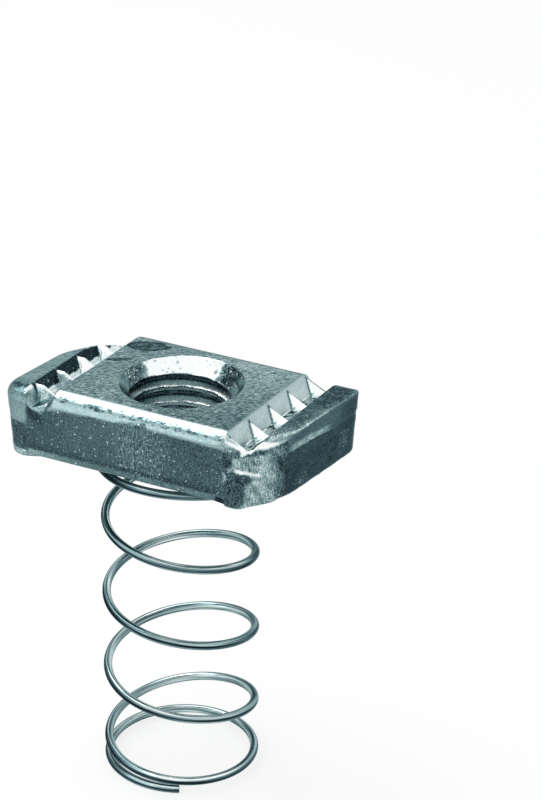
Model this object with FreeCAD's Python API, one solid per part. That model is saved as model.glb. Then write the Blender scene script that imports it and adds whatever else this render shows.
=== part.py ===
import FreeCAD, Part
import math
import os

# Strut spring nut: a pressed and tapped steel nut with two toothed grooves, carried on a
# left-hand wire spring whose end turns are closed. Millimetres, +Z up, X along the nut.
# The origin is on the table, under the middle of the nut, with the spring's foot at z = 0.

# Nut block
nut_width = 20.6
nut_thickness = 8.4
right_end_length = 17.25
left_end_length = 17.4
end_lean = 0.65
end_skew = 0.085
left_end_roll = 1.4
top_edge_radius = 2.2
bottom_edge_radius = 0.6
edge_tolerance = 0.001

# Corner radii seen from above: the two large ones let the nut turn in place
front_left_radius = 3.0
back_right_radius = 2.2
turning_corner_radius = 6.0

# Land between the two grooves, and the grooves' profile; drops are below the land
land_length = 21.4
groove_width = 4.0
ridge_drop = 0.45
crest_start_drop = 0.4
crest_start_inset = 0.25
crest_end_drop = 1.7
crest_end_inset = 1.1
knee_drop = 0.5
left_crest_end_drop = 1.4
pit_depth = 2.2
pit_wall_run = 1.25
pit_floor_rise = 0.35
pit_floor_end_inset = 1.4

# Teeth across the grooves
tooth_pitch_right = 4.4
tooth_pitch_left = 4.3
left_row_shift = 1.2
tooth_half_base = 0.9
tooth_flat = 0.12
tooth_depth = 4.0

# Roll-off of the ridge at each turning corner, more at the back left than at the front right
corner_roll_slope_x = 0.87
corner_roll_slope_y = 0.53
corner_roll_inset = 0.6
front_right_roll_start = 3.0
back_left_roll_start = 1.0

# Tapped hole, bored here to the thread's inside diameter
thread_minor_diameter = 10.8
mouth_diameter = 14.2
underside_mouth_diameter = 13.2

# Spring: turns are counted downward from the first active one
wire_diameter = 1.0
spring_mean_radius = 8.59
spring_pitch = 9.73
spring_axis_x = -0.25
spring_start_angle = 208.3
points_per_turn = 24
wire_flat_angle = 45.0

# Closed foot turn, which rises a little from the wire's end
spring_foot_turn = 4.25
foot_bend_turn = 3.15
foot_rise_per_turn = 0.8
foot_ramp_turns = 0.6

# Closed top turn, which is wider and ends in the nut's seat
spring_top_turn = -1.62
top_bend_turn = -0.724
top_rise_per_turn = 1.145
top_ramp_turns = 0.25
seat_flare = 0.46
seat_flare_end_turn = -1.2
lower_flare = 0.75
lower_flare_turn = -0.85
flare_end_turn = -0.2

# Seat of the spring's top turn in the underside
seat_depth = 0.45
seat_clearance = 0.12
seat_gap = 0.05
stake_turns = (-1.53, -1.32, -1.11)
stake_width = 1.8
stake_base = 0.5
stake_reach = 0.35
stake_lip = 0.3

# Press mark at the lower edge of the front face
notch_x = 10.6
notch_radius = 0.75
notch_depth = 0.5

half_width = nut_width / 2
wire_radius = wire_diameter / 2
land_edge = land_length / 2
ridge_edge = land_edge + groove_width
beyond = 5.0

# Heights follow from the spring, which carries the nut
foot_bend_z = wire_radius + foot_rise_per_turn * (spring_foot_turn - foot_bend_turn)
top_bend_z = foot_bend_z + spring_pitch * (foot_bend_turn - top_bend_turn)
seat_wire_z = top_bend_z + top_rise_per_turn * (top_bend_turn - spring_top_turn)
underside_z = seat_wire_z + wire_radius + seat_gap - seat_depth
top_z = underside_z + nut_thickness


def vec(x, y, z):
    return FreeCAD.Vector(x, y, z)


def polygon_face(points):
    return Part.Face(Part.makePolygon(points + [points[0]]))


def crest_profile():
    """Top line of the nut along X, over the tooth crests: (x, z) from left to right."""
    left = [
        (-ridge_edge, -ridge_drop),
        (-ridge_edge + pit_wall_run, -knee_drop),
        (-land_edge - crest_end_inset, -left_crest_end_drop),
        (-land_edge, 0.0),
    ]
    right = [
        (land_edge, 0.0),
        (land_edge + crest_start_inset, -crest_start_drop),
        (ridge_edge - crest_end_inset, -crest_end_drop),
        (ridge_edge, -ridge_drop),
    ]
    return left + right


def section(x, z):
    """Section of the bar across X, with its two top edges rounded."""
    r = top_edge_radius
    c = r * math.sin(math.radians(45))
    low = underside_z - beyond
    top = top_z + z
    front_arc = Part.Arc(vec(x, -half_width, top - r), vec(x, -half_width + r - c, top - r + c),
                         vec(x, -half_width + r, top))
    back_arc = Part.Arc(vec(x, half_width - r, top), vec(x, half_width - r + c, top - r + c),
                        vec(x, half_width, top - r))
    edges = [
        Part.LineSegment(vec(x, -half_width, low), vec(x, -half_width, top - r)).toShape(),
        front_arc.toShape(),
        Part.LineSegment(vec(x, -half_width + r, top), vec(x, half_width - r, top)).toShape(),
        back_arc.toShape(),
        Part.LineSegment(vec(x, half_width, top - r), vec(x, half_width, low)).toShape(),
        Part.LineSegment(vec(x, half_width, low), vec(x, -half_width, low)).toShape(),
    ]
    return Part.Wire(edges)


def rolled_bar():
    ends = [(-left_end_length - beyond, -ridge_drop), (right_end_length + beyond, -ridge_drop)]
    line = [ends[0]] + crest_profile() + [ends[1]]
    return Part.makeLoft([section(x, z) for x, z in line], True, True)


def outline():
    """Plan of the nut: two nearly square corners, and two rounded ones to turn on."""
    skew = end_skew * half_width
    corners = [
        (vec(-left_end_length - skew, -half_width, underside_z), front_left_radius),
        (vec(right_end_length - skew, -half_width, underside_z), turning_corner_radius),
        (vec(right_end_length + skew, half_width, underside_z), back_right_radius),
        (vec(-left_end_length + skew, half_width, underside_z), turning_corner_radius),
    ]
    arcs, spans = [], []
    for i, (corner, radius) in enumerate(corners):
        before = (corners[i - 1][0] - corner).normalize()
        after = (corners[(i + 1) % 4][0] - corner).normalize()
        half_angle = before.getAngle(after) / 2
        reach = radius / math.tan(half_angle)
        inward = (before + after).normalize()
        nearest = corner + inward * (radius / math.sin(half_angle) - radius)
        first, last = corner + before * reach, corner + after * reach
        arcs.append(Part.Arc(first, nearest, last).toShape())
        spans.append((first, last))
    edges = []
    for i in range(4):
        edges.append(arcs[i])
        edges.append(Part.LineSegment(spans[i][1], spans[(i + 1) % 4][0]).toShape())
    return Part.Wire(edges)


def end_wedge(length):
    """What a leaning shear cut takes off an end at this length, drawn at the right."""
    lean = end_lean / nut_thickness
    reach = half_width + beyond
    y = -reach
    shift = y * end_skew
    top_x = length + lean * beyond + shift
    low_x = length - end_lean - lean * beyond + shift
    far_x = length + 2 * beyond + shift
    face = polygon_face([
        vec(low_x, y, underside_z - beyond),
        vec(top_x, y, top_z + beyond),
        vec(far_x, y, top_z + beyond),
        vec(far_x, y, underside_z - beyond),
    ])
    return face.extrude(vec(end_skew, 1, 0) * (2 * reach))


def end_roll():
    """What rolls over the left end's top edge where the shear went in, drawn at the right."""
    r = left_end_roll
    c = r * math.sin(math.radians(45))
    x = left_end_length
    y = -half_width - beyond
    z = top_z - ridge_drop
    arc = Part.Arc(vec(x - r, y, z), vec(x - r + c, y, z - r + c), vec(x, y, z - r))
    corners = [vec(x, y, z - r), vec(x + beyond, y, z - r), vec(x + beyond, y, z + beyond),
               vec(x - r, y, z + beyond), vec(x - r, y, z)]
    wire = Part.Wire([arc.toShape()] + Part.makePolygon(corners).Edges)
    roll = Part.Face(wire).extrude(vec(0, -2 * y, 0))
    roll.rotate(vec(x, 0, 0), vec(0, 0, 1), -math.degrees(math.atan(end_skew)))
    return roll


def half_turned(shape):
    """The same shape at the other end of the nut, which is alike when turned half round."""
    copy = shape.copy()
    copy.rotate(vec(0, 0, 0), vec(0, 0, 1), 180)
    return copy


def sheared_blank():
    prism = Part.Face(outline()).extrude(vec(0, 0, nut_thickness + beyond))
    prism = prism.cut(end_wedge(right_end_length))
    prism = prism.cut(half_turned(end_wedge(left_end_length)))
    prism = prism.makeFillet(bottom_edge_radius, bottom_edges(prism))
    return prism.common(rolled_bar()).removeSplitter().cut(half_turned(end_roll()))


def pit_profile(side):
    """Closed profile of one groove's pits, seen along Y: steep on the left, shallow on the right."""
    start_x = land_edge if side > 0 else -ridge_edge
    start_z = 0.0 if side > 0 else -ridge_drop
    end_x = ridge_edge if side > 0 else -land_edge
    end_z = -ridge_drop if side > 0 else 0.0
    foot_z = -pit_depth
    points = [
        (start_x, start_z),
        (start_x + pit_wall_run, foot_z),
        (end_x - pit_floor_end_inset, foot_z + pit_floor_rise),
        (end_x, end_z),
        (end_x, beyond),
        (start_x, beyond),
    ]
    return points


def crest_line(side):
    """Path that a tooth's crest follows across its groove, run on past both ends."""
    if side > 0:
        start = vec(land_edge + crest_start_inset, 0, -crest_start_drop)
        end = vec(ridge_edge - crest_end_inset, 0, -crest_end_drop)
        step = end - start
        return [start - step, end + step]
    first = vec(-ridge_edge - beyond, 0, -ridge_drop)
    knee = vec(-ridge_edge + pit_wall_run, 0, -knee_drop)
    end = vec(-land_edge - crest_end_inset, 0, -left_crest_end_drop)
    return [first, knee, end + (end - knee)]


def tooth(y, side):
    """One tooth: a gable whose crest runs across the groove, with a narrow flat on top."""
    slope = (pit_depth - crest_start_drop) / tooth_half_base
    half_flat = tooth_flat / 2
    half_spread = tooth_depth / slope + half_flat
    path = crest_line(side)
    body = None
    for first, last in zip(path, path[1:]):
        base = vec(first.x, y, top_z + first.z)
        apex = half_flat * slope
        face = polygon_face([
            base + vec(0, 0, apex),
            base + vec(0, -half_spread, -tooth_depth),
            base + vec(0, half_spread, -tooth_depth),
        ])
        part = face.extrude(last - first)
        body = part if body is None else body.fuse(part)
    return body


def tooth_places(side):
    pitch = tooth_pitch_right if side > 0 else tooth_pitch_left
    count = int(nut_width / pitch) + 1
    shift = 0.0 if side > 0 else left_row_shift
    return [shift + pitch * (i - (count - 1) / 2) for i in range(count)]


def groove_pits(side):
    """What the press takes out of one groove between its teeth."""
    places = tooth_places(side)
    first = places[0] if side > 0 else -half_width - beyond
    last = min(places[-1], half_width + beyond)
    points = [vec(x, first, top_z + z) for x, z in pit_profile(side)]
    pits = polygon_face(points).extrude(vec(0, last - first, 0))
    for y in places:
        pits = pits.cut(tooth(y, side))
    return pits


def corner_roll(length, start):
    """What the press rolls down at a turning corner, from a distance past the end's middle."""
    def point(x, y):
        drop = corner_roll_slope_x * (x - length + corner_roll_inset)
        rise = corner_roll_slope_y * (y + start)
        return vec(x, y, top_z - ridge_drop - drop + rise)
    far_x = length + beyond
    far_y = -half_width - beyond
    face = polygon_face([point(land_edge, far_y), point(far_x, far_y), point(far_x, 0),
                         point(land_edge, 0)])
    return face.extrude(vec(0, 0, 4 * beyond))


def tapped_hole():
    """Bore at the thread's inside diameter, with a wide mouth above and a smaller one below."""
    r = thread_minor_diameter / 2
    mouth = mouth_diameter / 2
    low_mouth = underside_mouth_diameter / 2
    bore = Part.makeCylinder(r, nut_thickness + 2 * beyond, vec(0, 0, underside_z - beyond))
    depth = mouth - r
    low_depth = low_mouth - r
    top_cone = Part.makeCone(r, mouth + beyond, depth + beyond, vec(0, 0, top_z - depth))
    low_cone = Part.makeCone(low_mouth + beyond, r, low_depth + beyond,
                             vec(0, 0, underside_z - beyond))
    return bore.fuse([top_cone, low_cone])


def spring_seat():
    """Ring groove in the underside for the spring's top turn."""
    middle = spring_mean_radius + seat_flare
    outer = middle + wire_radius + seat_clearance
    inner = middle - wire_radius - seat_clearance
    centre = vec(spring_axis_x, 0, underside_z - beyond)
    ring = Part.makeCylinder(outer, seat_depth + beyond, centre)
    return ring.cut(Part.makeCylinder(inner, seat_depth + beyond, centre))


def stake(turn):
    """A lip of metal that is struck over the spring's top turn to hold it in its seat."""
    outer = spring_mean_radius + seat_flare + wire_radius
    root = outer + seat_clearance
    lip_top = spring_height(turn) - wire_radius - seat_gap
    lip_low = lip_top - stake_lip
    profile = [
        (root, underside_z + seat_depth / 2),
        (root + stake_base, underside_z + seat_depth / 2 + stake_base),
        (root + stake_base, underside_z + stake_base),
        (root + stake_lip, lip_low),
        (outer - stake_reach, lip_low),
        (outer - stake_reach, lip_top),
        (root, lip_top),
    ]
    face = polygon_face([vec(spring_axis_x + r, 0, z) for r, z in profile])
    sweep = math.degrees(stake_width / root)
    axis = vec(spring_axis_x, 0, 0)
    upward = vec(0, 0, 1)
    lip = face.revolve(axis, upward, sweep)
    lip.rotate(axis, upward, spring_start_angle + 360 * turn - sweep / 2)
    return lip


def press_notch():
    """Small round-backed mark at the lower edge of the front face."""
    centre = vec(notch_x, -half_width + notch_depth, underside_z)
    return Part.makeCylinder(notch_radius, beyond, centre, vec(0, -1, 0))


def bottom_edges(shape):
    edges = []
    for edge in shape.Edges:
        box = edge.BoundBox
        if box.ZMax < underside_z + edge_tolerance:
            edges.append(edge)
    return edges


def nut():
    body = sheared_blank()
    body = body.cut(corner_roll(right_end_length, front_right_roll_start))
    body = body.cut(half_turned(corner_roll(left_end_length, back_left_roll_start)))
    for side in (-1, 1):
        body = body.cut(groove_pits(side))
    body = body.cut(tapped_hole())
    body = body.cut(spring_seat())
    body = body.cut(press_notch())
    body = body.fuse([stake(turn) for turn in stake_turns])
    return body.removeSplitter().Solids[0]


def eased(value, step, ramp, change):
    """Rounds the bend where two slopes meet, over a ramp centred on it."""
    into = max(0.0, ramp / 2 - abs(step))
    return value + change * into * into / (2 * ramp)


def spring_height(turn):
    """Height of the wire's centre line: a steep middle between two nearly flat ends."""
    if turn > (foot_bend_turn + top_bend_turn) / 2:
        step = turn - foot_bend_turn
        slope = foot_rise_per_turn if step > 0 else spring_pitch
        return eased(foot_bend_z - slope * step, step, foot_ramp_turns,
                     spring_pitch - foot_rise_per_turn)
    step = turn - top_bend_turn
    slope = spring_pitch if step > 0 else top_rise_per_turn
    return eased(top_bend_z - slope * step, step, top_ramp_turns, top_rise_per_turn - spring_pitch)


def spring_radius(turn):
    """Radius of the wire's centre line, which is wider in the top turn."""
    if turn < seat_flare_end_turn:
        return spring_mean_radius + seat_flare
    if turn < lower_flare_turn:
        share = (turn - seat_flare_end_turn) / (lower_flare_turn - seat_flare_end_turn)
        return spring_mean_radius + seat_flare + share * (lower_flare - seat_flare)
    if turn < flare_end_turn:
        share = (flare_end_turn - turn) / (flare_end_turn - lower_flare_turn)
        return spring_mean_radius + lower_flare * share * share * (3 - 2 * share)
    return spring_mean_radius


def spring():
    turns = spring_foot_turn - spring_top_turn
    count = round(turns * points_per_turn)
    points = []
    for i in range(count + 1):
        turn = spring_top_turn + turns * i / count
        angle = math.radians(spring_start_angle + 360 * turn)
        radius = spring_radius(turn)
        points.append(vec(spring_axis_x + radius * math.cos(angle), radius * math.sin(angle),
                          spring_height(turn)))
    curve = Part.BSplineCurve()
    curve.interpolate(points)
    path = Part.Wire(curve.toShape())
    along = curve.tangent(curve.FirstParameter)[0]
    upward = vec(0, 0, 1)
    sideways = along.cross(upward).normalize()
    step = math.radians(wire_flat_angle)
    corner_radius = wire_radius / math.cos(step / 2)
    corners = []
    for i in range(round(2 * math.pi / step)):
        angle = step * (i + 0.5)
        offset = sideways * math.cos(angle) + upward * math.sin(angle)
        corners.append(points[0] + offset * corner_radius)
    ring = Part.makePolygon(corners + [corners[0]])
    return path.makePipeShell([ring], True, True)


def main():
    os.makedirs("parts", exist_ok=True)
    pieces = {"nut": nut(), "spring": spring()}
    for name, shape in pieces.items():
        box = shape.BoundBox
        print(name, shape.ShapeType, "valid", shape.isValid(), "solids", len(shape.Solids),
              "volume %.2f" % shape.Volume, "faces", len(shape.Faces))
        print("   x %.3f..%.3f y %.3f..%.3f z %.3f..%.3f"
              % (box.XMin, box.XMax, box.YMin, box.YMax, box.ZMin, box.ZMax))
        shape.exportStep("parts/%s.step" % name)


main()
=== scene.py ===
import math

import bpy
import numpy as np
from mathutils import Matrix, Vector


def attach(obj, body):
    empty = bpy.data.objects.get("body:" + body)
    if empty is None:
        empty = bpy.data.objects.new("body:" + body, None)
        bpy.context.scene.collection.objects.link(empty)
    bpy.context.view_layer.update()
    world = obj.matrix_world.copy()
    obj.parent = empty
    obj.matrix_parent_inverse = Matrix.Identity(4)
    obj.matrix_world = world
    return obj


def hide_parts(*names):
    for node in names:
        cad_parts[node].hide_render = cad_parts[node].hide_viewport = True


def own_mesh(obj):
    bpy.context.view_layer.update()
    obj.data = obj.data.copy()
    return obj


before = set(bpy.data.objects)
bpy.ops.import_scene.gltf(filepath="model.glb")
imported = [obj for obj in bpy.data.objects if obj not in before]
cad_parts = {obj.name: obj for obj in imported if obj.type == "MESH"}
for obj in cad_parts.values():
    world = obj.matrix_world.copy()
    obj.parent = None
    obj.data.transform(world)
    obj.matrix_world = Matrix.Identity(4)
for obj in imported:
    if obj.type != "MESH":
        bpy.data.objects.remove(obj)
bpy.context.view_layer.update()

mm = 0.001  # the part's sizes are given in millimetres, Blender works in metres

# The strut spring nut: a pressed steel block with two toothed grooves and a threaded hole,
# on a left-hand spring of round wire.

block = {
    "topZ": 48.6,  # height of the land, the flat middle of the top
    "thickness": 8.4,
    "halfWidth": 10.3,
    "rightEnd": 17.25,
    "leftEnd": 17.4,
    "endLean": 0.077,  # the sheared ends lean inward, mm per mm down
    "endSkew": 0.085,  # and run askew, mm per mm across
    "endScale": 0.996,  # turns a distance along X into one square to an end
    "topRun": 2.5,  # the long top edges are rolled over, further in than down
    "topFall": 1.9,
    "endRoll": 1.4,  # the left end is rolled over too
    "endRollFrom": 16.0,  # and its roll grows into the long edges' over a short way
    "endRollBlend": 3.0,
    "bottomRounds": [(-14.6, 0.15), (-12.5, 1.0), (9.8, 1.1), (11.2, 0.4), (17, 0.6)],  # along X
    "edgeRound": 0.3,
    "cornerRounds": [3.4, 7.2, 2.6, 6.4],  # front left, front right, back right, back left
    "rollSlopeX": 0.87,  # the ridge rolls down at the two turning corners
    "rollSlopeY": 0.53,
    "rollInset": 0.6,
    "rollStartRight": 3.0,
    "rollStartLeft": 1.0,
    "cornerBlend": 0.5,
    "cutRound": 0.08,  # worn edges of the grooves and of the spring's seat
    "holeRound": 0.12,
    "reliefReach": 0.5,  # how far from the surface the marks are worked out
}

marks = {
    # the ends are sheared smooth above this line, along Y and height, and torn below it
    "breakLine": [(-6, -3.1), (-5, -3.0), (-3.5, -2.7), (0, -3.0), (3.6, -3.4), (5.7, -3.0),
                  (9, -2.8)],
    "breakWaver": 0.12,
    "breakBlend": 0.3,
    "tornFrom": 15.2,  # only this far out along X
    "tornBlend": 1.2,
    "tornDepth": 0.06,
    "tornLumps": 0.03,
    "tornGrain": 0.015,
    "frontFrom": 9.9,  # the front face's marks start this far out along Y
    "frontBlend": 0.3,
    "frontEnd": 15,  # and end this far out along X
    "frontFade": 2.0,
    "strokes": (-2.1, 3.7),  # where the press left upright strokes in the front face
    "strokeDepth": 0.015,
    "strokeFade": 0.4,
    "strokeWidth": 0.45,
    "strokeLean": 0.02,
    "strokeRun": 0.06,  # times as quick along the height as across
    "scrape": (-2.6, 1.25),  # start and sharp end of a shallow scrape
    "scrapeDepth": 0.1,
    "scrapeSharp": 0.3,
    "scrapeFoot": -5.0,  # it gets shallow down to this height
    "scrapeFade": 3.0,
    "scrapeLeast": 0.2,
    "notch": (10.55, -8.15),  # in the lower edge, along X and height
    "notchRadius": 0.6,
    "notchBack": -9.75,
    "notchRound": 0.15,
    "notchBlend": 0.1,
    "foldShade": (-13.3, -2.9),  # painted shade of a fold at the front left corner, along X and height
    "foldShadeSize": (1.5, 0.7),
    "foldShadeLean": 0.5,
    "waves": 0.012,
    "waveSize": 2.6,
}

dragged = {
    # where the press dragged and mottled the metal round the front right corner
    "middle": (13.6, -7.9),
    "size": (1.15, 1.5),  # how it spreads along X and Y
    "reach": 3.1,
    "blend": 0.9,
    "top": -1.0,
    "topBlend": 0.6,
    "bottom": -8.0,
    "bottomBlend": 0.8,
    "depth": 0.08,
    "flowDepth": 0.04,
    "turnsAround": (9.8, -3.1),  # the marks run round this place
}

lump = {
    # the swelling that it left low on that corner
    "line": [(13.15, -10.0), (15.5, -6.2)],  # its slanting side, seen from above
    "leftEdge": 10.9,
    "backEdge": -6.0,
    "top": -4.3,
    "topFrom": (11.0, -10),
    "topFall": 0.3,  # mm down per mm along X
    "topRise": 0.12,  # mm up per mm along Y
    "topScale": 0.93,
    "topRound": 0.8,
    "sideRound": 0.5,
    "lowRound": 0.4,
    "leftRound": 0.6,
    "oval": (12.4, -6.4),  # flat dark oval on its front, along X and height
    "ovalSize": (1.7, 2.0),
    "ovalLean": 0.15,
    # the next three place a painted highlight along its top
    "streak": (12.6, -4.3),  # bright streak along its top
    "streakFall": 0.3,
    "streakEnds": (12.1, 14.4),
}

landEdge = 10.7  # the flat middle of the top ends here along X, and the grooves start
ridgeEdge = 14.7  # the grooves end here, and the ridges start
ridgeDrop = 0.45

grooves = {
    # top line of the teeth and bottom line of the pits between them, along X and height
    "crestRight": [(landEdge, 0.0), (10.95, -0.4), (13.6, -1.7), (ridgeEdge, -ridgeDrop)],
    "crestLeft": [(-ridgeEdge, -ridgeDrop), (-13.45, -0.5), (-11.8, -1.4), (-landEdge, 0.0)],
    "crestRound": 0.06,
    "pitRight": [(landEdge, 0.0), (11.95, -2.2), (13.3, -1.85), (ridgeEdge, -ridgeDrop)],
    "pitLeft": [(-ridgeEdge, -ridgeDrop), (-13.45, -2.2), (-12.1, -1.85), (-landEdge, 0.0)],
    "teethRight": [-8.8, -4.4, 0.0, 4.4, 8.8],  # along Y
    "teethLeft": [-7.4, -3.1, 1.2, 5.5, 9.8],
    "toothSlope": 2.0,
    "toothRound": 0.05,
    "creaseRound": 0.1,
}

bore = {
    "minorRadius": 5.4,
    "majorRadius": 6.35,
    "pitch": 1.954,
    "flankSlope": 1.732,  # flanks at 60 degrees to each other
    "threadScale": 0.6,  # turns a radial distance into one square to a flank
    "mouthRadius": 7.1,
    "lowMouthRadius": 6.6,
    "edgeRound": 0.06,
}

diagonal = 0.707  # turns a distance along X or Z into one square to a 45 degree face
beyond = 30  # well outside the block

springShape = {
    "wire": 1.0,
    "radius": 8.59,
    "pitch": 9.73,
    "axisX": -0.25,
    "startAngle": 208.3,
    "footTurn": 4.25,  # turns are counted downward from the first active one
    "footBend": 3.15,
    "footRise": 0.8,  # the closed foot turn climbs a little, mm per turn
    "footRamp": 0.6,
    "topTurn": -1.62,
    "topBend": -0.724,
    "topRamp": 0.25,
    "seatDepth": 0.45,
    "seatGap": 0.05,
    "flares": [(-1.62, 0.46), (-1.2, 0.46), (-0.85, 0.75), (-0.2, 0.0)],  # wider top turn
    "seatClearance": 0.12,
    "stakes": [-1.53, -1.32, -1.11],  # where lips of the nut hold the top turn
    "lipWidth": 1.8,
    "lipThickness": 0.3,
    "lipReach": 0.35,
    "lipRound": 0.08,
    "lipTipRound": 0.1,
    "lipRootRound": 0.12,
    "lipRootShare": 1.6,  # a lip's root is this much thicker than its tip
    "lipEndRound": 0.15,
    "lipBlend": 0.1,
    "lipZone": 0.6,  # the lips' metal starts no higher than this above the underside
    "endWear": 0.05,  # the cut ends have a small worn edge
    "endScales": (0.86, 0.97),
    "ringsPerTurn": 72,
    "sides": 24,
    # brightness painted around the section as painted shade and painted highlights, 0 outward and
    # 90 up, for places around the axis
    "litTones": {
        29: [(0, 0.3), (25, 0.22), (55, 0.5), (80, 0.42), (105, 0.2), (125, 0.6), (150, 0.75),
             (180, 0.4), (270, 0.2), (330, 0.25), (360, 0.3)],
        119: [(0, 0.3), (60, 0.2), (85, 0.55), (110, 0.85), (140, 0.7), (160, 0.45), (185, 0.8),
              (215, 0.6), (240, 0.25), (280, 0.2), (330, 0.3), (360, 0.3)],
        209: [(0, 0.15), (30, 0.12), (55, 0.22), (75, 0.55), (95, 0.3), (110, 0.85), (130, 0.6),
              (160, 0.5), (180, 0.25), (270, 0.15), (330, 0.2), (360, 0.2)],
        299: [(0, 0.12), (12, 0.2), (25, 0.65), (45, 0.85), (55, 1.0), (70, 0.95), (82, 0.55),
              (100, 0.6), (120, 0.35), (180, 0.3), (270, 0.2), (295, 0.3), (315, 0.75),
              (340, 0.5), (360, 0.12)],
    },
}


def roundMax(a, b, r):
    # the larger of two distances, with the edge between them rounded
    corner = np.hypot(np.maximum(a + r, 0), np.maximum(b + r, 0))
    return np.minimum(np.maximum(a, b), -r) + corner


def roundMin(a, b, r):
    return -roundMax(-a, -b, r)


def lineDistance(x, z, start, end):
    # distance above a line in the X and Z plane, positive below it
    runX, runZ = end[0] - start[0], end[1] - start[1]
    length = math.hypot(runX, runZ)
    return -((z - start[1]) * runX - (x - start[0]) * runZ) / length


noiseShift = (17.3, 5.7, 11.9)  # moves the pattern of each seed to another place
noiseMix = (127.1, 311.7, 74.7, 43758.5453)  # scatters the whole numbers of a grid point


def smoothNoise(x, y, z, size, seed):
    # soft random lumps of the given size, the same in every run
    px, py, pz = [p / size + seed * shift for p, shift in zip((x, y, z), noiseShift)]
    ix, iy, iz = np.floor(px), np.floor(py), np.floor(pz)
    fx, fy, fz = px - ix, py - iy, pz - iz
    sx, sy, sz = fx * fx * (3 - 2 * fx), fy * fy * (3 - 2 * fy), fz * fz * (3 - 2 * fz)
    mixX, mixY, mixZ, scatter = noiseMix
    total = 0.0
    for cx in (0, 1):
        for cy in (0, 1):
            for cz in (0, 1):
                key = (ix + cx) * mixX + (iy + cy) * mixY + (iz + cz) * mixZ
                value = np.modf(np.abs(np.sin(key) * scatter))[0]
                weight = (sx if cx else 1 - sx) * (sy if cy else 1 - sy) * (sz if cz else 1 - sz)
                total = total + value * weight
    return total * 2 - 1


def crestHeight(x):
    # top line of the block along X, over the crests of the teeth
    line = [(-beyond, -ridgeDrop)] + grooves["crestLeft"]
    line = line + grooves["crestRight"] + [(beyond, -ridgeDrop)]
    xs, zs = [p[0] for p in line], [p[1] for p in line]
    soft = grooves["crestRound"]
    return (np.interp(x - soft, xs, zs) + np.interp(x, xs, zs) + np.interp(x + soft, xs, zs)) / 3


def grooveParts(x, y, z, side):
    # the groove's walls, the roof of the nearest tooth and the groove's ends, as distances
    hand = "Right" if side > 0 else "Left"
    profile, crest = grooves["pit" + hand], grooves["crest" + hand]
    places = np.array(grooves["teeth" + hand])
    pit = lineDistance(x, z, profile[0], profile[1])
    for start, end in zip(profile[1:], profile[2:]):
        pit = roundMax(pit, lineDistance(x, z, start, end), grooves["creaseRound"])
    nearest = np.clip(np.searchsorted((places[1:] + places[:-1]) / 2, y), 0, len(places) - 1)
    across = np.sqrt((y - places[nearest]) ** 2 + grooves["toothRound"] ** 2)
    (startX, startZ), (endX, endZ) = crest[1], crest[2]
    slope = (endZ - startZ) / (endX - startX)
    top = startZ + slope * (x - startX)
    if side < 0:
        top = np.minimum(startZ, top)
    steep = grooves["toothSlope"]
    gable = (z - top + steep * across) / math.hypot(steep, 1)
    # the right groove starts at its first tooth, the left one runs out at the front
    first = places[0] - y if side > 0 else np.full_like(y, -beyond)
    return pit, gable, np.maximum(first, y - places[-1])


def grooveCut(x, y, z, side):
    # what the press takes out of a groove between its teeth, negative inside the cut
    pit, gable, ends = grooveParts(x, y, z, side)
    return np.maximum(roundMax(pit, -gable, grooves["creaseRound"]), ends)


def cornerRoll(x, y, z, length, start):
    # sloping plane that takes the ridge down at a turning corner
    drop = block["rollSlopeX"] * (x - length + block["rollInset"])
    rise = block["rollSlopeY"] * (y + start)
    steep = math.sqrt(1 + block["rollSlopeX"] ** 2 + block["rollSlopeY"] ** 2)
    return (z + ridgeDrop + drop - rise) / steep


def holeCut(x, y, z):
    # the threaded hole with its two mouths
    r = np.hypot(x, y)
    turn = np.arctan2(y, x) / (2 * math.pi)
    along = np.mod(z / bore["pitch"] - turn, 1.0)
    fromCrest = np.minimum(along, 1 - along) * bore["pitch"]
    crestFlat = bore["pitch"] / 8
    deepest = bore["majorRadius"] - bore["minorRadius"]
    depth = np.clip((fromCrest - crestFlat) * bore["flankSlope"], 0, deepest)
    thread = (r - bore["minorRadius"] - depth) * bore["threadScale"]
    mouth = (r - bore["mouthRadius"] - z) * diagonal
    lowMouth = (r - bore["lowMouthRadius"] + z + block["thickness"]) * diagonal
    return roundMin(roundMin(thread, mouth, bore["edgeRound"]), lowMouth, bore["edgeRound"])


def seatCut(x, y, z):
    # ring groove in the underside for the spring's top turn
    s = springShape
    ring = np.abs(np.hypot(x - s["axisX"], y) - s["radius"] - s["flares"][0][1])
    ring = ring - s["wire"] / 2 - s["seatClearance"]
    return roundMax(ring, z + block["thickness"] - s["seatDepth"], block["cutRound"])


def stakedLip(x, y, z, turn):
    # metal struck over the wire to hold it in its seat
    s = springShape
    outer = s["radius"] + s["flares"][0][1] + s["wire"] / 2
    root = outer + s["seatClearance"]
    top = wireHeight(turn) - s["wire"] / 2 - s["seatGap"] - block["topZ"]
    low = top - s["lipThickness"] - z
    high = z + block["thickness"] - s["seatDepth"] / 2
    r = np.hypot(x - s["axisX"], y)
    middle = math.radians(s["startAngle"] + 360 * turn)
    away = np.arctan2(y, x - s["axisX"]) - middle
    away = np.abs(np.mod(away + math.pi, 2 * math.pi) - math.pi) * r - s["lipWidth"] / 2
    edge = s["lipRound"]
    wall = roundMax(root - r, r - root - s["lipThickness"] * s["lipRootShare"], edge)
    wall = roundMax(wall, roundMax(low, high, edge), s["lipRootRound"])
    lip = roundMax(outer - s["lipReach"] - r, r - root - s["lipThickness"], s["lipTipRound"])
    lip = roundMax(lip, roundMax(low, z - top, edge), edge)
    return roundMax(roundMin(wall, lip, edge), away, s["lipEndRound"])


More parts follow.
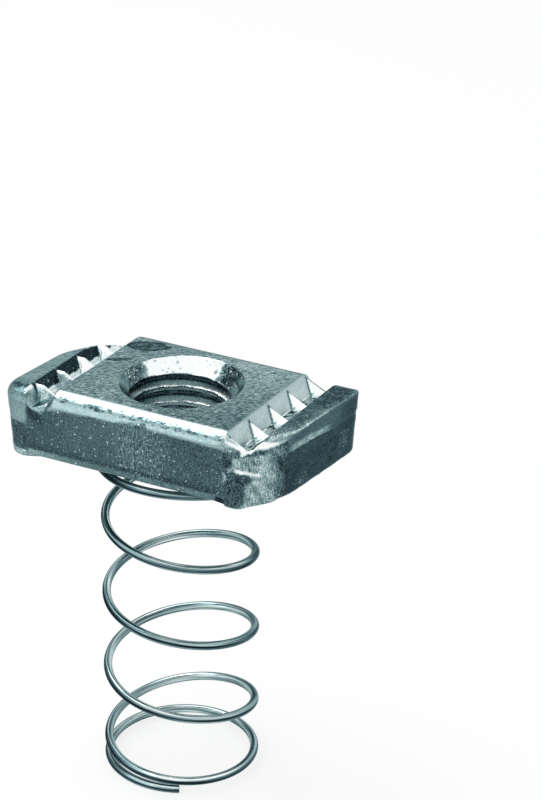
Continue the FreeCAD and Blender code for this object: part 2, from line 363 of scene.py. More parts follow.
def cornerLump(x, y, z):
    # lump of metal that the press dragged down at the front right corner
    (ax, ay), (bx, by) = lump["line"]
    runX, runY = bx - ax, by - ay
    slant = ((x - ax) * runY - (y - ay) * runX) / math.hypot(runX, runY)
    low = -block["thickness"] - z
    body = roundMax(-block["halfWidth"] - y, slant, lump["sideRound"])
    body = roundMax(body, low, lump["lowRound"])
    fromX, fromY = lump["topFrom"]
    top = z - lump["top"] + lump["topFall"] * (x - fromX) - lump["topRise"] * (y - fromY)
    body = roundMax(body, top * lump["topScale"], lump["topRound"])
    body = roundMax(body, y - lump["backEdge"], lump["topRound"])
    return roundMax(body, lump["leftEdge"] - x, lump["leftRound"])


def endFace(x, y, z, side):
    # one of the two sheared ends
    b = block
    length = b["rightEnd"] if side > 0 else b["leftEnd"]
    return (side * (x - b["endSkew"] * y) - length - b["endLean"] * z) * b["endScale"]


def breakHeight(x, y, z):
    # line on an end face where the clean cut goes over into the torn part
    line = np.interp(y, *zip(*marks["breakLine"]))
    return line + marks["breakWaver"] * smoothNoise(x, y, z, 1.0, 3)


def tornShare(x, y, z):
    # 1 on the torn lower part of an end face, 0 elsewhere
    line = breakHeight(x, y, z)
    out = np.abs(x - block["endSkew"] * y) - marks["tornFrom"]
    reach = np.clip(out / marks["tornBlend"], 0, 1)
    return np.clip((line - z) / marks["breakBlend"], 0, 1) * reach


def dragShare(x, y, z):
    # 1 around the front right corner, where the metal is dragged and mottled
    d = dragged
    away = np.hypot((x - d["middle"][0]) / d["size"][0], (y - d["middle"][1]) / d["size"][1])
    upright = np.clip((d["top"] - z) / d["topBlend"], 0, 1)
    upright = upright * np.clip((z - d["bottom"]) / d["bottomBlend"], 0, 1)
    return np.clip((d["reach"] - away) / d["blend"], 0, 1) * upright


def surfaceRelief(x, y, z):
    # how far the true surface stands in from the clean form, in mm
    torn = marks["tornDepth"] + marks["tornLumps"] * smoothNoise(x, y, z, 1.1, 1)
    torn = torn + marks["tornGrain"] * smoothNoise(x, y, z, 0.4, 2)
    relief = tornShare(x, y, z) * torn
    flow = smoothNoise(x * 1.5 + y * 1.2, z * 0.35 + y * 0.6, x * 0.4, 0.8, 4)
    flow = dragged["depth"] + dragged["flowDepth"] * flow
    flow = flow + dragged["flowDepth"] * smoothNoise(x, y, z, 1.4, 5)
    relief = relief + dragShare(x, y, z) * flow
    m = marks
    front = np.clip((-y - m["frontFrom"]) / m["frontBlend"], 0, 1)
    front = front * np.clip((m["frontEnd"] - np.abs(x)) / m["frontFade"], 0, 1)
    start, end = m["strokes"]
    inStrokes = np.clip((x - start) / m["strokeFade"], 0, 1)
    inStrokes = inStrokes * np.clip((end - x) / m["strokeFade"], 0, 1)
    strokes = smoothNoise(x + m["strokeLean"] * z, 0 * y, m["strokeRun"] * z, m["strokeWidth"], 6)
    relief = relief + front * inStrokes * m["strokeDepth"] * (1 + strokes)
    start, end = m["scrape"]
    scrape = np.clip((x - start) / (end - start), 0, 1)
    scrape = scrape * np.clip((end + m["scrapeSharp"] - x) / m["scrapeSharp"], 0, 1)
    shallow = np.clip((z - m["scrapeFoot"]) / m["scrapeFade"], m["scrapeLeast"], 1)
    relief = relief + front * scrape * m["scrapeDepth"] * shallow
    return relief + m["waves"] * (1 + smoothNoise(x, y, z, m["waveSize"], 7))


def notchCut(x, y, z):
    # round notch that the press left in the lower front edge
    middleX, middleZ = marks["notch"]
    hole = np.hypot(x - middleX, z - middleZ) - marks["notchRadius"]
    return roundMax(hole, y - marks["notchBack"], marks["notchRound"])


def blockDistance(x, y, z):
    # the nut block as a distance in millimetres, negative inside; z is measured from the land
    b = block
    side = np.abs(y) - b["halfWidth"]
    end = np.maximum(endFace(x, y, z, 1), endFace(x, y, z, -1))
    rounds = b["cornerRounds"]
    radius = np.where(x < 0, np.where(y < 0, rounds[0], rounds[3]),
                      np.where(y < 0, rounds[1], rounds[2]))
    plan = roundMax(end, side, radius)
    top = z - crestHeight(x)
    share = np.clip((x + b["endRollFrom"]) / b["endRollBlend"], 0, 1)
    fall = b["endRoll"] + (b["topFall"] - b["endRoll"]) * share
    run = b["endRoll"] + (b["topRun"] - b["endRoll"]) * share
    leftBody = roundMax(plan * (fall / run), top, fall)
    rightBody = roundMax(plan, roundMax(side * b["topFall"] / b["topRun"], top, b["topFall"]),
                         b["edgeRound"])
    body = np.where(x < 0, leftBody, rightBody)
    bottomRound = np.interp(x, *zip(*b["bottomRounds"]))
    body = roundMax(body, -b["thickness"] - z, bottomRound)
    for roll in (cornerRoll(x, y, z, b["rightEnd"], b["rollStartRight"]),
                 cornerRoll(-x, -y, z, b["leftEnd"], b["rollStartLeft"])):
        body = roundMax(body, roll, b["cornerBlend"])
    body = roundMin(body, cornerLump(x, y, z), b["cornerBlend"])
    near = np.abs(body) < b["reliefReach"]
    body[near] += surfaceRelief(x[near], y[near], z[near])
    for hand in (-1, 1):
        body = roundMax(body, -grooveCut(x, y, z, hand), b["cutRound"])
    body = roundMax(body, -holeCut(x, y, z), b["holeRound"])
    body = roundMax(body, -seatCut(x, y, z), b["cutRound"])
    body = roundMax(body, -notchCut(x, y, z), marks["notchBlend"])
    s = springShape
    low = z < -b["thickness"] + s["lipZone"]
    for turn in s["stakes"]:
        lip = stakedLip(x[low], y[low], z[low], turn)
        body[low] = roundMin(body[low], lip, s["lipBlend"])
    return body


def meshFromDistance(distance, xs, ys, zs):
    # a closed mesh on the surface where the distance is zero, with its edges kept crisp
    halvings = 9  # steps in the search for the surface along a grid edge
    reach = 0.004  # mm, how far apart the distances for a slope are taken
    hold = 0.03  # how firmly a point stays in the middle of its cell
    axes = [np.asarray(a, float) for a in (xs, ys, zs)]
    gx, gy, gz = np.meshgrid(*axes, indexing="ij")
    values = distance(gx, gy, gz)
    inside = values < 0
    shape = values.shape
    cells = [n - 1 for n in shape]
    edges, points, flips = [], [], []
    for axis in range(3):
        low = [slice(None)] * 3
        high = [slice(None)] * 3
        low[axis], high[axis] = slice(0, -1), slice(1, None)
        change = inside[tuple(low)] != inside[tuple(high)]
        index = np.argwhere(change)
        start = np.stack([axes[i][index[:, i]] for i in range(3)], 1)
        step = np.zeros_like(start)
        step[:, axis] = axes[axis][index[:, axis] + 1] - axes[axis][index[:, axis]]
        atStart = inside[tuple(index.T)]
        lo, hi = np.zeros(len(index)), np.ones(len(index))
        for _ in range(halvings):
            middle = (lo + hi) / 2
            p = start + step * middle[:, None]
            same = (distance(p[:, 0], p[:, 1], p[:, 2]) < 0) == atStart
            lo, hi = np.where(same, middle, lo), np.where(same, hi, middle)
        points.append(start + step * ((lo + hi) / 2)[:, None])
        edges.append(index)
        flips.append(atStart)

    def slopes(p):
        parts = []
        for axis in range(3):
            shift = np.zeros(3)
            shift[axis] = reach
            a, b = p + shift, p - shift
            parts.append(distance(a[:, 0], a[:, 1], a[:, 2]) - distance(b[:, 0], b[:, 1], b[:, 2]))
        n = np.stack(parts, 1)
        return n / np.maximum(np.linalg.norm(n, axis=1, keepdims=True), 1e-12)

    size = cells[0] * cells[1] * cells[2]

    def cellNumber(index):
        return (index[:, 0] * cells[1] + index[:, 1]) * cells[2] + index[:, 2]

    # for each cell: six products of slopes, three pulls, three coordinates and a count
    sums = np.zeros((size, 13))
    quads = []
    for axis in range(3):
        index, p = edges[axis], points[axis]
        n = slopes(p)
        u, v = (axis + 1) % 3, (axis + 2) % 3
        inner = ((index[:, u] > 0) & (index[:, u] < shape[u] - 1)
                 & (index[:, v] > 0) & (index[:, v] < shape[v] - 1))
        index, p, n, flip = index[inner], p[inner], n[inner], flips[axis][inner]
        along = np.einsum("ij,ij->i", n, p)
        terms = [n[:, 0] ** 2, n[:, 0] * n[:, 1], n[:, 0] * n[:, 2], n[:, 1] ** 2,
                 n[:, 1] * n[:, 2], n[:, 2] ** 2]
        terms += [n[:, i] * along for i in range(3)]
        terms += [p[:, i] for i in range(3)] + [np.ones(len(p))]
        around = []
        for du, dv in ((-1, -1), (0, -1), (0, 0), (-1, 0)):
            cell = index.copy()
            cell[:, u] += du
            cell[:, v] += dv
            number = cellNumber(cell)
            around.append(number)
            for i, term in enumerate(terms):
                sums[:, i] += np.bincount(number, term, size)
        quad = np.stack(around, 1)
        quad[~flip] = quad[~flip][:, ::-1]
        quads.append(quad)
    quads = np.concatenate(quads)
    used = np.flatnonzero(sums[:, 12] > 0)
    s = sums[used]
    count = s[:, 12:13]
    middle = s[:, 9:12] / count
    a = np.zeros((len(used), 3, 3))
    for k, (i, j) in enumerate(((0, 0), (0, 1), (0, 2), (1, 1), (1, 2), (2, 2))):
        a[:, i, j] = s[:, k]
        a[:, j, i] = s[:, k]
    pull = s[:, 6:9] - np.einsum("ijk,ik->ij", a, middle)
    stiff = a + np.eye(3) * (hold * count)[:, :, None]
    shift = np.linalg.solve(stiff, pull[:, :, None])[:, :, 0]
    where = np.stack(np.unravel_index(used, cells), 1)
    lowest = np.stack([axes[i][where[:, i]] for i in range(3)], 1)
    highest = np.stack([axes[i][where[:, i] + 1] for i in range(3)], 1)
    place = np.clip(middle + shift, lowest, highest)
    renumber = np.zeros(size, int)
    renumber[used] = np.arange(len(used))
    return place, renumber[quads], slopes(place)


def spans(parts, coarse):
    # grid lines from spans of (start, end, step)
    lines = []
    for start, end, step in parts:
        count = max(1, round((end - start) / (step * coarse)))
        lines.append(np.linspace(start, end, count + 1)[:-1])
    lines.append([parts[-1][1]])
    return np.concatenate(lines)


def meshObject(name, verts, faces, normals=None):
    mesh = bpy.data.meshes.new(name)
    mesh.from_pydata([tuple(v) for v in verts], [], [tuple(f) for f in faces])
    mesh.shade_smooth()
    if normals is not None:
        mesh.normals_split_custom_set_from_vertices([tuple(n) for n in normals])
    made = bpy.data.objects.new(name, mesh)
    bpy.context.scene.collection.objects.link(made)
    return made


blockGrid = [
    # start, end and step of the mesh's grid lines along X, Y and Z, finer where more happens
    [(-18.4, -10.3, 0.16), (-10.3, -7.4, 0.29), (-7.4, 7.4, 0.18), (7.4, 10.3, 0.29),
     (10.3, 18.4, 0.16)],
    [(-10.8, -7.8, 0.16), (-7.8, 7.8, 0.2), (7.8, 10.8, 0.16)],
    [(-10.3, -6.9, 0.17), (-6.9, -3.0, 0.195), (-3.0, 0.3, 0.15)],
]


def makeBlock():
    coarse = 1
    xs, ys, zs = [spans(parts, coarse) for parts in blockGrid]
    place, quads, normals = meshFromDistance(blockDistance, xs, ys, zs)
    print("block:", len(place), "points,", len(quads) * 2, "triangles")
    verts = (place + np.array([0, 0, block["topZ"]])) * mm
    made = meshObject("nutBlock", verts, quads, normals)
    return made, place, normals


def wireHeight(turn):
    # height of the wire's centre: a steep middle between two nearly flat ends
    s = springShape
    footBend = s["wire"] / 2 + s["footRise"] * (s["footTurn"] - s["footBend"])
    middle = footBend + s["pitch"] * (s["footBend"] - turn)
    seat = block["topZ"] - block["thickness"] + s["seatDepth"] - s["seatGap"] - s["wire"] / 2
    topBend = footBend + s["pitch"] * (s["footBend"] - s["topBend"])
    topFall = (seat - topBend) / (s["topBend"] - s["topTurn"])
    if turn > (s["footBend"] + s["topBend"]) / 2:
        foot = s["wire"] / 2 + s["footRise"] * (s["footTurn"] - turn)
        height = foot if turn > s["footBend"] else middle
        into = max(0.0, s["footRamp"] / 2 - abs(turn - s["footBend"]))
        return height + (s["pitch"] - s["footRise"]) * into * into / (2 * s["footRamp"])
    top = seat - topFall * (turn - s["topTurn"])
    height = top if turn < s["topBend"] else middle
    into = max(0.0, s["topRamp"] / 2 - abs(turn - s["topBend"]))
    return height + (topFall - s["pitch"]) * into * into / (2 * s["topRamp"])


def wireRadius(turn):
    # the flare eases out smoothly into the even turns
    flares = springShape["flares"]
    (lastStart, lastFlare), (lastEnd, _) = flares[-2], flares[-1]
    if turn > lastStart:
        share = min(max((lastEnd - turn) / (lastEnd - lastStart), 0), 1)
        return springShape["radius"] + lastFlare * share * share * (3 - 2 * share)
    return springShape["radius"] + float(np.interp(turn, *zip(*flares)))


def makeSpring():
    s = springShape
    turns = s["footTurn"] - s["topTurn"]
    count = round(turns * s["ringsPerTurn"])
    path = []
    for i in range(count + 1):
        turn = s["topTurn"] + turns * i / count
        angle = math.radians(s["startAngle"] + 360 * turn)
        radius = wireRadius(turn)
        path.append((s["axisX"] + radius * math.cos(angle), radius * math.sin(angle),
                     wireHeight(turn)))
    path = np.array(path)
    tangent = np.gradient(path, axis=0)
    tangent /= np.linalg.norm(tangent, axis=1, keepdims=True)
    sideways = np.cross(tangent, [0, 0, 1])
    sideways /= np.linalg.norm(sideways, axis=1, keepdims=True)
    upward = np.cross(sideways, tangent)
    # each ring of points: place along the path, slide along the wire and scale
    worn, nearlyFull = s["endScales"]
    rings = [(0, 0.0, worn), (0, s["endWear"], nearlyFull)]
    rings += [(i, 0.0, 1.0) for i in range(1, count)]
    rings += [(count, -s["endWear"], nearlyFull), (count, 0.0, worn)]
    verts, faces = [], []
    sides = s["sides"]
    for i, slide, scale in rings:
        centre = path[i] + tangent[i] * slide
        for k in range(sides):
            angle = 2 * math.pi * k / sides
            out = sideways[i] * math.cos(angle) + upward[i] * math.sin(angle)
            verts.append((centre + out * (scale * s["wire"] / 2)) * mm)
    for j in range(len(rings) - 1):
        for k in range(sides):
            a, b = j * sides + k, j * sides + (k + 1) % sides
            faces.append((a, b, b + sides, a + sides))
    faces.append(tuple(range(sides))[::-1])
    last = (len(rings) - 1) * sides
    faces.append(tuple(range(last, last + sides)))
    print("spring:", len(verts), "points")
    made = meshObject("springWire", verts, faces)
    paintWire(made, path, [i for i, _, _ in rings])
    return made


def paintWire(made, path, rings):
    # painted shade and painted highlights around the wire, and the run of the die lines, at each
    # point of the mesh
    s = springShape
    litTones, lines = [], []
    quarters = list(s["litTones"].values())
    firstPlace = min(s["litTones"])
    reach = wireFinish["linesAround"] / 2
    sides = s["sides"]
    for i in rings:
        along = i / s["ringsPerTurn"] * 2 * math.pi * s["radius"]
        place = math.degrees(math.atan2(path[i][1], path[i][0] - s["axisX"])) - firstPlace
        quarter, share = divmod(place / 90 % 4, 1)
        share = share * share * (3 - 2 * share)
        for k in range(sides):
            angle = 2 * math.pi * k / sides
            near, far = [float(np.interp(math.degrees(angle), *zip(*quarters[int(q) % 4])))
                         for q in (quarter, quarter + 1)]
            litTones.append(near + (far - near) * share)
            lines += [math.cos(angle) * reach, math.sin(angle) * reach,
                      along / wireFinish["lineLength"]]
    made.data.attributes.new("tone", "FLOAT", "POINT").data.foreach_set("value", litTones)
    made.data.attributes.new("lines", "FLOAT_VECTOR", "POINT").data.foreach_set("vector", lines)


def linear(hexColour):
    # sRGB hex to the linear colour that Blender works in
    parts = [int(hexColour[i:i + 2], 16) / 255 for i in (1, 3, 5)]
    return tuple([c / 12.92 if c <= 0.04045 else ((c + 0.055) / 1.055) ** 2.4 for c in parts] + [1])


def addNode(tree, kind, inputs=None, **settings):
    node = tree.nodes.new(kind)
    for name, value in settings.items():
        setattr(node, name, value)
    for name, value in (inputs or {}).items():
        if isinstance(value, bpy.types.NodeSocket):
            tree.links.new(value, node.inputs[name])
        else:
            node.inputs[name].default_value = value
    return node


def newMaterial(name):
    made = bpy.data.materials.new(name)
    made.use_nodes = True
    made.node_tree.nodes.clear()
    return made, made.node_tree


zincTones = [
    # brightness of the plating and its colour, from the darkest, used in open pits and for painted
    # shade, to white, used for painted highlights
    (0.0, "#0E181D"), (0.17, "#1F2D34"), (0.33, "#435A61"), (0.48, "#648084"),
    (0.63, "#8FA9AC"), (0.78, "#BCCDCE"), (0.91, "#E4EEEE"), (1.0, "#FBFEFE"),
]

nutFinish = {
    "roughness": 0.22,
    "grainSize": 0.13,  # mm, grain of the etched skin under the zinc, coarse enough to show
    "grainDepth": 1.5,  # how strongly each pattern moves the brightness
    "streakSize": 0.11,  # mm, as all sizes here
    "streakLength": 4.5,  # times as long as wide
    "streakTurn": 0.52,
    "streakDepth": 1.35,
    "dragSize": 0.17,
    "dragLength": 3.0,
    "dragDepth": 1.8,
    "slantTint": (0.55, 0.62, 0.63, 1.0),  # etched pits stay dark when seen at a slant
    "fleckSize": 0.3,
    "fleckShow": (0.62, 0.74),  # flecks start to show at the first value of their pattern
    "roughSwing": 0.3,
    "bumpHeight": 0.005,
    "bumpStrength": 0.5,
}

wireFinish = {
    "roughness": 0.16,
    "lineLength": 9.0,  # mm, how far one die line runs along the wire
    "linesAround": 4.0,  # across the wire, coarser than the real ones so that they show
    "lineDepth": 1.55,
    "grain": 0.12,
}

landStains = [
    # x, y, half length, half width, turn
    (-8.2, 6.5, 2.3, 1.15, 0.3),
    (-9.3, 1.7, 1.45, 0.4, 0.5),
]

toneLines = {
    # brightness along a line, for the plating's own tone and for painted shade and painted
    # highlights: a place in mm or an angle in degrees, and the tone
    "frontFace": [(-13, -0.02), (-8, 0.03), (-3, 0.03), (-1, 0.08), (2.5, 0.05),
                  (4.5, -0.01), (10, -0.02)],  # along X, added to the face's tone
    # painted reflection of the floor on the front's rounded lower edge, along X
    "lowerEdgeReflection": [(-15.5, 0.72), (-14, 0.6), (-9, 0.46), (-3, 0.41), (9, 0.45)],
    "ridgeAcross": [(14.7, 0.32), (15.4, 0.25), (16.3, 0.3), (16.9, 0.4)],
    "ridgeAlong": [(-6, 0.2), (-3, 0.1), (1, 0.03), (6, -0.02), (9, -0.04)],  # added to that
    "shearedEnd": [(-6, 0.4), (-3, 0.33), (0, 0.36), (4, 0.33), (6, 0.26), (9, 0.24)],
    "corner": [(16, 0.26), (26, 0.34), (32, 0.52), (44, 0.63), (75, 0.63), (88, 0.45)],
    "leftFlanks": [(-9, 0.55), (-7.3, 0.66), (-4.5, 0.66), (-3.2, 0.6), (-1, 0.6),
                   (0, 0.95), (9, 1.0)],
    # painted highlight on the thread's upward flanks, by angle around the bore from +X
    "thread": [(0, 0.7), (40, 0.8), (60, 1.0), (140, 1.0), (170, 0.7), (200, 0.6), (360, 0.7)],
    # around the countersink, from +X: a painted highlight across the back, from 79 to 154 degrees,
    # with darker patches to each side
    "mouth": [(0, 0.5), (30, 0.52), (38, 0.42), (44, 0.2), (68, 0.2), (76, 0.6), (79, 1.0),
              (154, 1.0), (160, 0.55), (168, 0.3), (192, 0.36), (205, 0.55), (225, 0.5),
              (270, 0.46), (310, 0.4), (335, 0.48), (360, 0.5)],
}

# lower end of the band on the front's rounded top edge that is painted as a highlight and a grey
# reflection: place along X and height
highlightBandEnds = [(-14.1, -1.6), (-13.9, -1.95), (-13.2, -2.45), (-12.3, -2.6), (-11.5, -2.2),
            (-10.8, -1.98), (-9.5, -1.7), (-4.3, -1.58), (-2.4, -1.5), (-0.6, -1.25),
            (1.17, -0.8), (1.5, -1.5), (8.3, -1.6), (11, -1.8)]

# width of the painted highlight along the top edge at the front right corner: angle and mm
rimHighlightWidths = [(5, 0.05), (25, 0.22), (45, 0.45), (90, 0.7)]


def perMillimetre(size):
    # noise scale in Blender's metres for lumps of this size in millimetres
    return 1000 / size


def noisePattern(tree, place, size, detail, length=1.0, turn=0.0, upright=False):
    # noise stretched along one direction of the part
    stretch = (1, 1, length) if upright else (length, 1, 1)
    bent = addNode(tree, "ShaderNodeMapping", {"Vector": place, "Rotation": (0, 0, turn),
                                               "Scale": stretch}, vector_type="TEXTURE")
    return addNode(tree, "ShaderNodeTexNoise", {"Vector": bent.outputs[0], "Detail": detail,
                                                "Scale": perMillimetre(size)}).outputs["Fac"]


def sumOf(tree, *parts):
    total = parts[0]
    for part in parts[1:]:
        total = addNode(tree, "ShaderNodeMath", {0: total, 1: part}, operation="ADD").outputs[0]
    return total


def swing(tree, pattern, depth, share):
    # a pattern around zero, as strong as the painted share says
    centred = addNode(tree, "ShaderNodeMath", {0: pattern, 1: -0.5}, operation="ADD")
    scaled = addNode(tree, "ShaderNodeMath", {0: centred.outputs[0], 1: depth},
                     operation="MULTIPLY")
    return addNode(tree, "ShaderNodeMath", {0: scaled.outputs[0], 1: share},
                   operation="MULTIPLY").outputs[0]


def toneColour(tree, tone):
    ramp = addNode(tree, "ShaderNodeValToRGB", {"Fac": tone})
    elements = ramp.color_ramp.elements
    while len(elements) < len(zincTones):
        elements.new(0.5)
    for element, (spot, colour) in zip(elements, zincTones):
        element.position = spot
        element.color = linear(colour)
    return ramp.outputs["Color"]


def zincPlatedSteel():
    # bright zinc on pressed steel: a teal grey mirror with an etched grain; its painted tone holds
    # painted shade and painted highlights as well as its own tone, nearly black where it is torn
    # and white where a highlight is painted on smooth pressed metal
    f = nutFinish
    made, tree = newMaterial("zincPlatedPressedSteel")
    place = addNode(tree, "ShaderNodeTexCoord").outputs["Object"]
    coatAndLight = addNode(tree, "ShaderNodeAttribute", attribute_name="coatAndLight")
    drag = coatAndLight.outputs["Alpha"]
    coatAndLight = addNode(tree, "ShaderNodeSeparateColor", {"Color": coatAndLight.outputs["Color"]}).outputs
    flecks = addNode(tree, "ShaderNodeAttribute", attribute_name="flecks").outputs["Fac"]
    grain = noisePattern(tree, place, f["grainSize"], 3.0)
    streaks = noisePattern(tree, place, f["streakSize"], 2.0, f["streakLength"], f["streakTurn"])
    dragMarks = noisePattern(tree, place, f["dragSize"], 4.0, f["dragLength"], upright=True)
    spots = noisePattern(tree, place, f["fleckSize"], 4.0)
    spots = addNode(tree, "ShaderNodeMapRange", {
        "Value": spots, "From Min": f["fleckShow"][0],
        "From Max": f["fleckShow"][1]}).outputs["Result"]
    spots = addNode(tree, "ShaderNodeMath", {0: spots, 1: flecks}, operation="MULTIPLY")
    tone = sumOf(tree, coatAndLight["Red"], swing(tree, grain, f["grainDepth"], coatAndLight["Green"]),
                 swing(tree, streaks, f["streakDepth"], coatAndLight["Blue"]),
                 swing(tree, dragMarks, f["dragDepth"], drag), spots.outputs[0])
    rough = sumOf(tree, swing(tree, grain, f["roughSwing"], 1.0), f["roughness"])
    bump = addNode(tree, "ShaderNodeBump", {"Height": grain, "Strength": f["bumpStrength"],
                                            "Distance": f["bumpHeight"] * mm})
    shader = addNode(tree, "ShaderNodeBsdfPrincipled", {
        "Base Color": toneColour(tree, tone), "Metallic": 1.0, "Roughness": rough,
        "Specular Tint": f["slantTint"], "Normal": bump.outputs["Normal"]})
    addNode(tree, "ShaderNodeOutputMaterial", {"Surface": shader.outputs["BSDF"]})
    return made


def drawnWire():
    # zinc plated spring wire: painted shade and painted highlights around it from the tone
    # attribute, and the drawing die leaves dark and light lines along its length
    f = wireFinish
    made, tree = newMaterial("zincPlatedSpringWire")
    lines = addNode(tree, "ShaderNodeAttribute", attribute_name="lines").outputs["Vector"]
    scratches = addNode(tree, "ShaderNodeTexNoise", {"Vector": lines, "Scale": 1.0, "Detail": 3.0})
    place = addNode(tree, "ShaderNodeTexCoord").outputs["Object"]
    grain = noisePattern(tree, place, nutFinish["grainSize"], 2.0)
    tone = addNode(tree, "ShaderNodeAttribute", attribute_name="tone").outputs["Fac"]
    tone = sumOf(tree, tone, swing(tree, scratches.outputs["Fac"], f["lineDepth"], 1.0),
                 swing(tree, grain, f["grain"], 1.0))
    shader = addNode(tree, "ShaderNodeBsdfPrincipled", {
        "Base Color": toneColour(tree, tone), "Metallic": 1.0, "Roughness": f["roughness"],
        "Specular Tint": nutFinish["slantTint"]})
    addNode(tree, "ShaderNodeOutputMaterial", {"Surface": shader.outputs["BSDF"]})
    return made


def soften(value, low, high):
    # 0 below low, 1 above high and eased in between
    share = np.clip((value - low) / (high - low), 0, 1)
    return share * share * (3 - 2 * share)


def between(value, low, high, edge):
    # 1 from low to high, with soft edges
    return soften(value, low - edge / 2, low + edge / 2) * soften(
        -value, -high - edge / 2, -high + edge / 2)


def table(value, pairs):
    # value read off a line through pairs of place and height
    return np.interp(value, [p[0] for p in pairs], [p[1] for p in pairs])


class CoatAndPaintedLight:
    # what the plating looks like at each point of the mesh: its brightness, which holds painted
    # shade and painted highlights as well as its own tone, and how strongly the grain, the streaks,
    # the drag marks and the light flecks show on it
    def __init__(self, place, normals):
        self.x, self.y, self.z = place.T
        self.nx, self.ny, self.nz = normals.T
        count = len(place)
        self.tone = np.full(count, 0.36)
        self.grain = np.full(count, 0.5)
        self.streak = np.zeros(count)
        self.drag = np.zeros(count)
        self.flecks = np.full(count, 0.1)
        self.fine = smoothNoise(self.x, self.y, self.z, 0.28, 11)
        self.noise = smoothNoise(self.x, self.y, self.z, 0.6, 12)
        self.wide = smoothNoise(self.x, self.y, self.z, 1.9, 13)

    def put(self, share, **layers):
        # lays new values over the old ones, as far as the share goes
        for name, new in layers.items():
            values = getattr(self, name)
            values += (new - values) * share

    def smoothAndLit(self, share, tone, grain):
        # the same for smooth pressed metal painted bright as a painted highlight, with no streaks,
        # drag marks or flecks
        self.put(share, tone=tone, grain=grain, streak=0.0, drag=0.0, flecks=0.0)


def paintLand(c):
    x, y, z = c.x, c.y, c.z
    on = soften(z, -0.14, -0.03) * (np.abs(x) < 10.8)
    tone = 0.53 + 0.011 * y * soften(x, -4, 4) - 0.04 * soften(x, 8.4, 10.2) + 0.03 * c.wide
    c.put(on, tone=tone + 0.04 * c.fine, grain=0.55, streak=1.0, drag=0.0, flecks=0.0)
    for stainX, stainY, halfX, halfY, turn in landStains:
        dx, dy = x - stainX, y - stainY
        u = (dx * math.cos(turn) + dy * math.sin(turn)) / halfX
        v = (dy * math.cos(turn) - dx * math.sin(turn)) / halfY
        away = np.hypot(u, v) + 0.16 * c.noise + 0.1 * c.wide
        c.put(on * soften(1 - away, 0, 0.2), tone=0.3 + 0.12 * c.noise, grain=0.7)
        c.put(on * between(away, 0.86, 1.06, 0.12), tone=0.12)


def paintSides(c):
    x, y, z = c.x, c.y, c.z
    onFront = soften(-y, 7.2, 7.6) * (np.abs(x) < 15)
    face = 0.33 + table(x, toneLines["frontFace"])
    face = face - 0.04 * soften(-z, 5.8, 6.8) + 0.025 * c.wide
    start, end = marks["strokes"]
    strokes = between(x, start, end, 0.6)
    c.put(onFront, tone=face, grain=0.5, streak=0.0, drag=0.12 + 0.3 * strokes,
          flecks=0.55 + 0.3 * strokes)
    # painted highlight: white over the rounded edge where it faces the overhead lamp, then grey as
    # a painted reflection, and a speckled line between the two
    angle = np.degrees(np.arctan2(-c.ny, c.nz))
    highlightEndAngle = 33 + 7 * c.fine + 5 * c.noise
    highlightBandEnd = table(x, highlightBandEnds) + 0.09 * c.noise + 0.05 * c.fine
    inHighlightBand = onFront * soften(z - highlightBandEnd, -0.12, 0.2) * (x > -14.2) * (x < 11.5)
    c.put(inHighlightBand * soften(angle, 6, 12), tone=0.64 + 0.03 * c.noise, grain=0.3, streak=0.0,
          drag=0.05, flecks=0.1)
    c.put(inHighlightBand * soften(angle, 9, 14) * soften(highlightEndAngle - angle, -3, 4), tone=1.0, grain=0.3)
    speckle = smoothNoise(x * 0.8, y, z, 0.2, 14) + 0.5 * c.noise
    line = inHighlightBand * soften(13 - np.abs(angle - 38 - 6 * c.noise), 0, 6)
    c.put(line * soften(speckle, 0.0, 0.3), tone=0.3, grain=0.9)
    # lower edge, rounded, and painted lighter as a painted reflection of the pale floor, with
    # darker bands painted just above and below it
    low = onFront * between(z + 0.07 * c.noise, -8.15, -7.2, 0.25) * soften(11 - x, 0, 0.6)
    c.put(onFront * between(z, -7.2, -6.7, 0.3) * (x < 10) * 0.7, tone=0.25)
    c.put(low, tone=table(x, toneLines["lowerEdgeReflection"]))
    c.put(onFront * soften(-8.1 - z, 0, 0.15) * (x < 10), tone=0.3)
    onBack = soften(y, 9.6, 10.0)
    c.put(onBack, tone=0.34 + 0.04 * c.wide, grain=0.5, streak=0.0, drag=0.15, flecks=0.4)
    # painted highlight: the back's rounded top edge painted lighter where it slopes
    backEdgeHighlight = soften(y, 7.4, 7.8) * soften(z + 1.6 + 0.1 * c.noise, -0.1, 0.25) * (np.abs(x) < 15)
    c.put(backEdgeHighlight * soften(0.97 - c.nz, 0, 0.04), tone=0.66 + 0.06 * c.noise, grain=0.5)
    c.put(soften(-c.nz, 0.75, 0.95), tone=0.42 + 0.04 * c.wide, grain=0.6, streak=0.0, drag=0.0,
          flecks=0.2)


